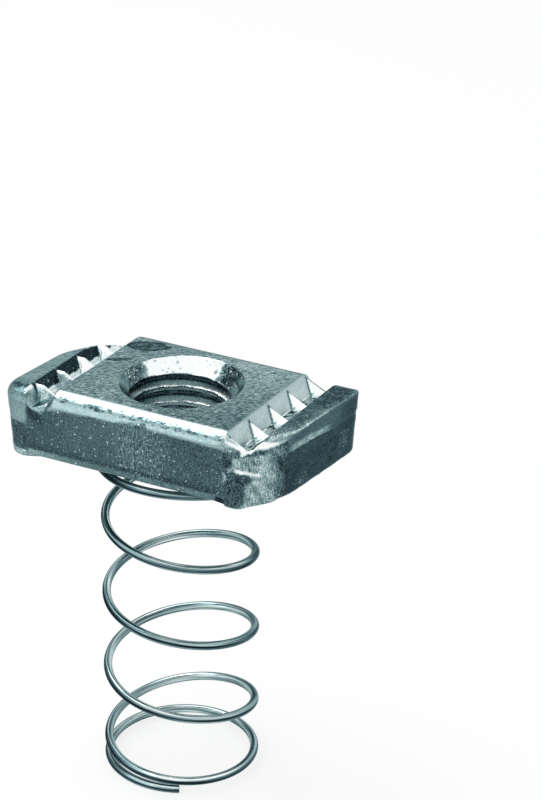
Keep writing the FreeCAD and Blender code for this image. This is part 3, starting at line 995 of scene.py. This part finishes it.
def paintLeftEnd(c):
    x, y, z = c.x, c.y, c.z
    on = soften(-x, 14.6, 14.9)
    c.put(on * soften(c.nz, 0.6, 0.9), tone=0.57 + 0.02 * c.wide, grain=0.3, streak=0.5, drag=0.0,
          flecks=0.0)
    ends = on * soften(0.85 - c.nz, 0, 0.3)
    c.put(ends * soften(-c.nx, 0.3, 0.6), tone=0.5 + 0.05 * c.wide, grain=0.5, streak=0.0,
          drag=0.1, flecks=0.1)
    # the corner at the front is light above and dark below, with the painted shade of a fold beside
    # it
    atFront = soften(-y, 6.5, 8.0)
    (foldX, foldZ), (halfX, halfZ) = marks["foldShade"], marks["foldShadeSize"]
    foldShade = np.hypot((x - foldX) / halfX, (z - foldZ + marks["foldShadeLean"] * (x - foldX)) / halfZ)
    inFoldShade = atFront * soften(1.3 + 0.15 * c.noise - foldShade, 0, 0.9) * (z < table(x, highlightBandEnds))
    c.put(inFoldShade, tone=0.2)
    light = atFront * soften(-x - 13.8 - 0.1 * c.noise, -0.1, 0.5)
    above = soften(z + 4.35 + 0.12 * c.noise, -0.1, 0.25)
    c.put(light * above, tone=0.58 + 0.04 * c.wide, grain=0.35, streak=0.0, drag=0.1, flecks=0.1)
    c.put(light * soften(c.nz, 0.2, 0.5), tone=0.5 + 0.04 * c.wide, grain=0.35, streak=0.0,
          drag=0.1, flecks=0.1)
    c.put(light * (1 - above), tone=0.3 + 0.03 * c.wide, grain=0.6, streak=0.0, drag=0.3,
          flecks=0.3)
    # painted highlight along the corner's lower edge
    c.put(light * soften(-7.4 + 0.05 * c.noise - z, 0, 0.25), tone=0.66)
    patch = soften(-y, 8.0, 8.5) * soften(c.nz, 0.3, 0.6) * soften(-x, 14.5, 14.8)
    c.put(patch * soften(z, -0.75, -0.55), tone=0.3 + 0.25 * c.fine, grain=0.6, streak=0.0,
          drag=0.0, flecks=0.3)
    torn = tornShare(x, y, z) * (x < 0) * soften(y, -9, -7)
    c.put(torn, tone=0.24 + 0.05 * c.noise, grain=0.8, streak=0.0, drag=0.4, flecks=0.4)


def paintRightEnd(c):
    x, y, z = c.x, c.y, c.z
    on = soften(x, 14.5, 14.8)
    ridge = on * soften(c.nz, 0.55, 0.85)
    across = x - block["endSkew"] * y
    tone = table(across, toneLines["ridgeAcross"]) + table(y, toneLines["ridgeAlong"])
    c.put(ridge, tone=tone + 0.08 * c.noise + 0.06 * c.wide, grain=0.7, streak=0.5, drag=0.2,
          flecks=0.4)
    # painted highlight along the rounded edge between the ridge and the end, stronger towards the
    # front
    slope = soften(c.nz, 0.3, 0.5) * soften(0.93 - c.nz, 0, 0.1)
    edge = on * soften(c.nx, 0.25, 0.4) * slope
    c.put(edge * (0.4 + 0.6 * soften(4.5 - y, 0, 4)), tone=0.72 + 0.18 * c.fine, grain=0.9,
          streak=0.0, drag=0.1, flecks=0.7)
    end = on * soften(c.nx, 0.55, 0.8) * soften(-z, 0.75, 1.0)
    upper = table(y, toneLines["shearedEnd"])
    c.put(end, tone=upper + 0.015 * c.wide, grain=0.25, streak=0.3, drag=0.1, flecks=0.1)
    above = z - breakHeight(x, y, z)
    # painted highlight: a lighter streak on the end just above the break line
    glow = end * between(above, 0.1, 0.9, 0.5) * between(y, -4.6, 2.4, 2.0)
    c.put(glow * (0.85 + 0.3 * c.noise), tone=0.66, grain=0.6, streak=0.0, drag=0.2, flecks=0.5)
    torn = end * soften(-above, -0.06, 0.1)
    c.put(torn, tone=0.23 + 0.025 * c.wide + 0.025 * c.noise, grain=0.35, streak=0.0, drag=0.12,
          flecks=0.15)
    c.put(end * soften(0.13 - np.abs(above), 0, 0.08) * soften(c.wide + 0.5, 0, 0.4), tone=0.12,
          grain=0.6)
    # bright flakes where the fracture runs out at the back and along the lower edge
    flaked = torn * np.maximum(soften(y, 4.5, 6.5) * soften(z, -7.0, -5.6),
                               soften(-6.0 - z, 0, 0.5) * soften(0.5 - y, 0, 2) * 0.6)
    c.put(flaked * soften(c.noise + c.wide, -0.2, 0.4), tone=0.27, grain=1.0, streak=0.0,
          drag=0.5, flecks=0.9)
    c.put(end * soften(-7.75 - z, 0, 0.25), tone=0.3, grain=0.6)


def paintCorner(c):
    # front right corner: the press dragged the metal round and left it pitted; its tone is painted
    # lightest in the middle of the rounding, by angle round it
    x, y, z = c.x, c.y, c.z
    middleX, middleY = dragged["turnsAround"]
    # angle from 0 at the end to 90 at the front face
    around = np.degrees(np.arctan2(-(y - middleY), x - middleX))
    on = soften(x, landEdge, 11.0) * soften(-y, 4.9, 5.5) * soften(0.8 - c.nz, 0, 0.3)
    on = on * soften(-c.nz + 0.6, 0, 0.3)
    along = around * 0.09 - 0.45 * z
    flow = smoothNoise(along, z * 0.3, 0 * x, 0.45, 21)
    flow = 0.6 * flow + 0.5 * smoothNoise(along, z * 0.3, 0 * x, 0.22, 22)
    light = table(around, toneLines["corner"])
    tone = light + 0.2 * flow + 0.06 * c.wide
    c.put(on, tone=tone, grain=0.7, streak=0.0, drag=0.4, flecks=0.25)
    smear = on * soften(0.55 - np.abs(z + 2.15 + 0.012 * (around - 55) + 0.2 * c.wide), 0, 0.4)
    c.put(smear * soften(around, 30, 44), tone=0.32 + 0.12 * flow, grain=0.5, streak=0.0,
          drag=0.4)
    pits = on * soften(around, 66, 72) * between(z, -4.6, -2.2, 0.5)
    c.put(pits * soften(c.noise + 0.3 * c.wide, 0.0, 0.4), tone=0.22, grain=0.8)
    c.put(pits * soften(-c.noise, 0.3, 0.6), tone=0.85, grain=0.6)
    # the flat oval of the lump, its dark top and a painted highlight, a bright streak, over it
    (ovalX, ovalZ), (halfX, halfZ) = lump["oval"], lump["ovalSize"]
    oval = np.hypot((x - ovalX - lump["ovalLean"] * (z - ovalZ)) / halfX, (z - ovalZ) / halfZ)
    facet = on * soften(1.0 + 0.05 * c.noise - oval, 0, 0.12) * soften(around, 58, 64)
    c.put(facet, tone=0.3 + 0.05 * c.wide + 0.04 * c.noise, grain=0.7, streak=0.0, drag=0.3,
          flecks=0.4)
    lumpTop = soften(c.nz, 0.25, 0.5) * between(z, -6.2, -3.4, 0.4) * soften(-y, 8.3, 8.6)
    lumpTop = lumpTop * between(x, 10.9, 14.6, 0.4)
    c.put(lumpTop, tone=0.24 + 0.12 * c.noise, grain=0.8, streak=0.0, drag=0.4, flecks=0.4)
    streakX, streakZ = lump["streak"]
    off = np.abs(z - streakZ + lump["streakFall"] * (x - streakX))
    streak = np.maximum(on, lumpTop) * soften(0.3 - off + 0.1 * c.noise, 0, 0.2)
    c.put(streak * between(x, *lump["streakEnds"], 0.5), tone=1.0, grain=0.6, streak=0.0,
          drag=0.3)
    # painted shade in and around the notch in the lower edge
    notchX, notchZ = marks["notch"]
    notchShade = marks["notchRadius"] + 0.25 - np.hypot(x - notchX, z - notchZ)
    notchShade = soften(notchShade, 0, 0.2)
    c.put(notchShade * soften(-y, 9.3, 9.6), tone=0.12, grain=0.6)
    # painted highlight: a bright band along the top edge of the corner
    top = np.maximum(z - crestHeight(x), -grooveCut(x, y, z, 1))
    top = np.maximum(top, cornerRoll(x, y, z, block["rightEnd"], block["rollStartRight"]))
    plan = roundMax(endFace(x, y, z, 1), np.abs(y) - block["halfWidth"],
                    block["cornerRounds"][1])
    shelf = soften(x, landEdge, 10.9) * soften(14.8 - x, 0, 0.2) * soften(-y, 8.6, 8.8)
    shelf = shelf * soften(c.nz, 0.4, 0.6) * (z > -3.2)
    c.smoothAndLit(shelf, 0.74, 0.2)
    width = table(around, rimHighlightWidths)
    rim = soften(x, 10.6, 10.9) * soften(-y, 2.6, 4.5) * soften(top + width, 0, 0.15)
    c.smoothAndLit(rim * soften(plan + 0.3 + 0.7 * width, 0, 0.2), 1.0, 0.3)


def paintGrooves(c):
    x, y, z = c.x, c.y, c.z
    for side in (-1, 1):
        pit, gable, _ = grooveParts(x, y, z, side)
        on = (np.abs(grooveCut(x, y, z, side)) < 0.09) & (z < -0.02) & (x * side > 10.6)
        on = on & (x * side < 14.75)
        steep = on & (c.nx > 0.5)
        flank = on & ~steep & (np.abs(c.ny) > 0.4)
        floor = on & ~steep & ~flank
        # painted shade along the creases where the teeth meet the pit walls
        creaseShade = soften(0.13 - np.abs(pit), 0, 0.1) * soften(0.13 - np.abs(gable), 0, 0.1)
        teeth = np.array(grooves["teeth" + ("Right" if side > 0 else "Left")])
        fromCrest = np.abs(y[:, None] - teeth).min(1)
        if side > 0:
            c.put(steep, tone=0.72 + 0.03 * c.wide - 0.03 * z, grain=0.2, streak=0.0, drag=0.1,
                  flecks=0.0)
            # painted highlights on smooth pressed metal: the pit floors nearly white, and the
            # flanks white where they face the front and light grey where they face the back
            c.smoothAndLit(floor, 0.97, 0.3)
            c.smoothAndLit(flank, np.where(c.ny < 0, 1.0, 0.7), 0.1)
            c.put(floor * soften(c.noise, 0.35, 0.5), tone=0.2, grain=0.8)
            # painted shade along the creases
            c.put(on * creaseShade * (x < 12.4) * 0.8, tone=0.18)
            c.put(on * soften(z, -0.22, -0.1) * 0.5, tone=0.35)
        else:
            c.put(steep, tone=0.13 + 0.04 * c.noise, grain=0.6, streak=0.0, drag=0.0, flecks=0.9)
            # painted highlights on smooth pressed metal: the lowest part of the steep wall and the
            # pit floors nearly white
            c.smoothAndLit(steep * soften(-1.62 + 0.1 * c.noise - z, 0, 0.12), 0.9, 0.5)
            c.smoothAndLit(floor, 0.95, 0.3)
            lights = table(y, toneLines["leftFlanks"])
            c.put(flank, tone=lights + 0.16 * c.noise, grain=0.4, streak=0.0, drag=0.3,
                  flecks=0.2)
            # painted highlight along the crests of the teeth
            c.put(flank * soften(0.2 - fromCrest, 0, 0.08) * (y < 4), tone=0.97)
            # the first pit runs out at the front and stays grey
            first = on * soften(-7.9 - y, 0, 0.2)
            c.put(first, tone=0.55 + 0.14 * c.noise, grain=0.4, streak=0.0, drag=0.4, flecks=0.1)
            # painted highlight along the first pit's outer end
            c.put(first * soften(-14.35 - x, 0, 0.15), tone=0.97)
            # painted shade along the creases
            c.put(on * creaseShade * 0.6, tone=0.25)


def paintBore(c):
    x, y, z = c.x, c.y, c.z
    r = np.hypot(x, y)
    around = np.mod(np.degrees(np.arctan2(y, x)), 360)
    inBore = (r < bore["mouthRadius"] + 0.08) & (z < -0.04) & (z > -block["thickness"] + 0.3)
    mouth = inBore & (c.nz > 0.5) & (z > bore["minorRadius"] - bore["mouthRadius"] - 0.1)
    # the countersink's tone from the table round it, with its painted highlight across the back and
    # dim mottled patches to each side
    bent = around + 5 * c.noise + 5 * c.fine + 3 * c.wide
    litTones = table(np.mod(bent, 360), toneLines["mouth"])
    dim = soften(0.45 - litTones, 0, 0.1) * (litTones < 0.5) * (around < 200)
    c.put(mouth, tone=litTones + 0.2 * dim * c.fine, grain=0.35 + 0.8 * dim, streak=0.0,
          drag=0.7 * dim, flecks=1.6 * dim)
    c.put(mouth * soften(litTones, 0.8, 0.95) * soften(c.fine + 0.4 * c.wide, 0.5, 0.7), tone=0.68)
    front = mouth * between(around, 195, 345, 20)
    c.put(front * soften(r - bore["mouthRadius"] + 0.12, 0, 0.08), tone=0.72, grain=0.4)
    # along the thread: painted shade in the dark root, grey upper flank, a painted highlight on the
    # lower flank that faces up, whitest towards the back, and grey crest
    depth = r - bore["minorRadius"]
    thread = inBore & ~mouth
    lit = table(around, toneLines["thread"])
    c.put(thread, tone=0.5, grain=0.6, streak=0.0, drag=0.0, flecks=0.1)
    c.put(thread * soften(c.nz, 0.25, 0.45) * soften(0.72 - depth, 0, 0.1), tone=lit)
    c.put(thread * soften(depth, 0.84, 0.92), tone=0.3)


def paintBlock(piece, place, normals):
    c = CoatAndPaintedLight(place, normals)
    paintSides(c)
    paintLand(c)
    paintLeftEnd(c)
    paintRightEnd(c)
    paintCorner(c)
    paintGrooves(c)
    paintBore(c)
    coatAndLight = np.stack([c.tone, c.grain, c.streak, c.drag], 1).clip(0, 1)
    layer = piece.data.attributes.new("coatAndLight", "FLOAT_COLOR", "POINT")
    layer.data.foreach_set("color", coatAndLight.astype(np.float32).ravel())
    layer = piece.data.attributes.new("flecks", "FLOAT", "POINT")
    layer.data.foreach_set("value", c.flecks.astype(np.float32))
    print("plating painted")


lamps = {
    # name: direction from the part, distance and size in metres, watts
    "overhead": [(-0.43, 0.04, 0.90), 0.50, 0.30, 0.6],
    "frontLeft": [(-0.50, -0.75, 0.42), 0.60, 0.50, 0.5],
}

studio = {
    "floor": "#F4F6F6",
    "floorGlow": 1.33,  # what the camera and the metal see of the floor is lit by itself
    "glowShare": 0.6,
    "floorReach": 3.0,  # in metres
    "worldLight": 0.35,
    "focalPixels": 2657.5,  # the camera as fitted to the photograph
    "pictureHeight": 800,
    "sensor": 36,
    "azimuth": 28.344,
    "elevation": 24.798,
    "roll": 0.564,
    "distance": 303.0,
    "offset": (-10.258, -12.928),
    "aim": (-0.25, 0.0, 32.0),
    "lampAim": (0, 0, 0.035),  # in metres
}


def seenBy(tree, *kinds):
    # 1 for the named kinds of ray, 0 for the others
    rays = addNode(tree, "ShaderNodeLightPath")
    seen = rays.outputs[kinds[0]]
    for kind in kinds[1:]:
        seen = addNode(tree, "ShaderNodeMath", {0: seen, 1: rays.outputs[kind]},
                       operation="MAXIMUM").outputs[0]
    return seen


def makeWorld(scene):
    # white for the camera and the metal, and a plain soft light for the rest
    world = bpy.data.worlds.new("paleStudio")
    scene.world = world
    world.use_nodes = True
    tree = world.node_tree
    tree.nodes.clear()
    seen = seenBy(tree, "Is Camera Ray", "Is Glossy Ray", "Is Transmission Ray")
    plain, white = [addNode(tree, "ShaderNodeBackground", {
        "Color": (1, 1, 1, 1), "Strength": strength}) for strength in (studio["worldLight"], 1.0)]
    both = addNode(tree, "ShaderNodeMixShader", {0: seen, 1: plain.outputs[0],
                                                 2: white.outputs[0]})
    addNode(tree, "ShaderNodeOutputWorld", {"Surface": both.outputs[0]})


def makeCamera(scene):
    s = studio
    a, e = math.radians(s["azimuth"]), math.radians(s["elevation"])
    back = Vector((math.sin(a) * math.cos(e), -math.cos(a) * math.cos(e), math.sin(e)))
    right = Vector((math.cos(a), math.sin(a), 0))
    up = back.cross(right)
    turn = math.radians(s["roll"])
    right, up = (right * math.cos(turn) + up * math.sin(turn),
                 up * math.cos(turn) - right * math.sin(turn))
    spot = Vector(s["aim"]) + back * s["distance"] - right * s["offset"][0] - up * s["offset"][1]
    camera = bpy.data.cameras.new("camera")
    camera.sensor_width = s["sensor"]
    camera.lens = s["focalPixels"] * s["sensor"] / s["pictureHeight"]
    camera.clip_start, camera.clip_end = 0.01, 10
    holder = bpy.data.objects.new("camera", camera)
    axes = Matrix((right, up, back)).transposed()
    holder.matrix_world = Matrix.Translation(spot * mm) @ axes.to_4x4()
    scene.collection.objects.link(holder)
    scene.camera = holder


def makeLamps(scene):
    for name, (direction, distance, size, watts) in lamps.items():
        lamp = bpy.data.lights.new(name, "AREA")
        lamp.shape = "SQUARE"
        lamp.size = size
        lamp.energy = watts
        holder = bpy.data.objects.new(name, lamp)
        away = Vector(direction).normalized()
        holder.location = Vector(studio["lampAim"]) + away * distance
        holder.rotation_euler = away.to_track_quat("Z", "Y").to_euler()
        scene.collection.objects.link(holder)


def makeFloor():
    # pale paper that keeps the part's shadow and shows white to the camera and the metal
    s = studio
    far = s["floorReach"]
    corners = [(-far, -far, 0), (far, -far, 0), (far, far, 0), (-far, far, 0)]
    floor = meshObject("floor", corners, [(0, 1, 2, 3)])
    made, tree = newMaterial("palePaper")
    seen = seenBy(tree, "Is Camera Ray", "Is Glossy Ray")
    paper = addNode(tree, "ShaderNodeBsdfDiffuse", {"Color": linear(s["floor"])})
    glow = addNode(tree, "ShaderNodeEmission", {"Color": (1, 1, 1, 1),
                                                "Strength": s["floorGlow"]})
    share = addNode(tree, "ShaderNodeMath", {0: seen, 1: s["glowShare"]},
                    operation="MULTIPLY")
    both = addNode(tree, "ShaderNodeMixShader", {0: share.outputs[0], 1: paper.outputs[0],
                                                 2: glow.outputs[0]})
    addNode(tree, "ShaderNodeOutputMaterial", {"Surface": both.outputs[0]})
    floor.data.materials.append(made)


def makeStudio():
    scene = bpy.context.scene
    scene.view_settings.view_transform = "Standard"
    makeWorld(scene)
    makeCamera(scene)
    makeLamps(scene)
    makeFloor()


nut, nutPlace, nutNormals = makeBlock()
paintBlock(nut, nutPlace, nutNormals)
nut.data.materials.append(zincPlatedSteel())
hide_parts("nut")
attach(nut, "nut")

wire = makeSpring()
wire.data.materials.append(drawnWire())
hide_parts("spring")
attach(wire, "spring")
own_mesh(wire)

makeStudio()
print("studio done")
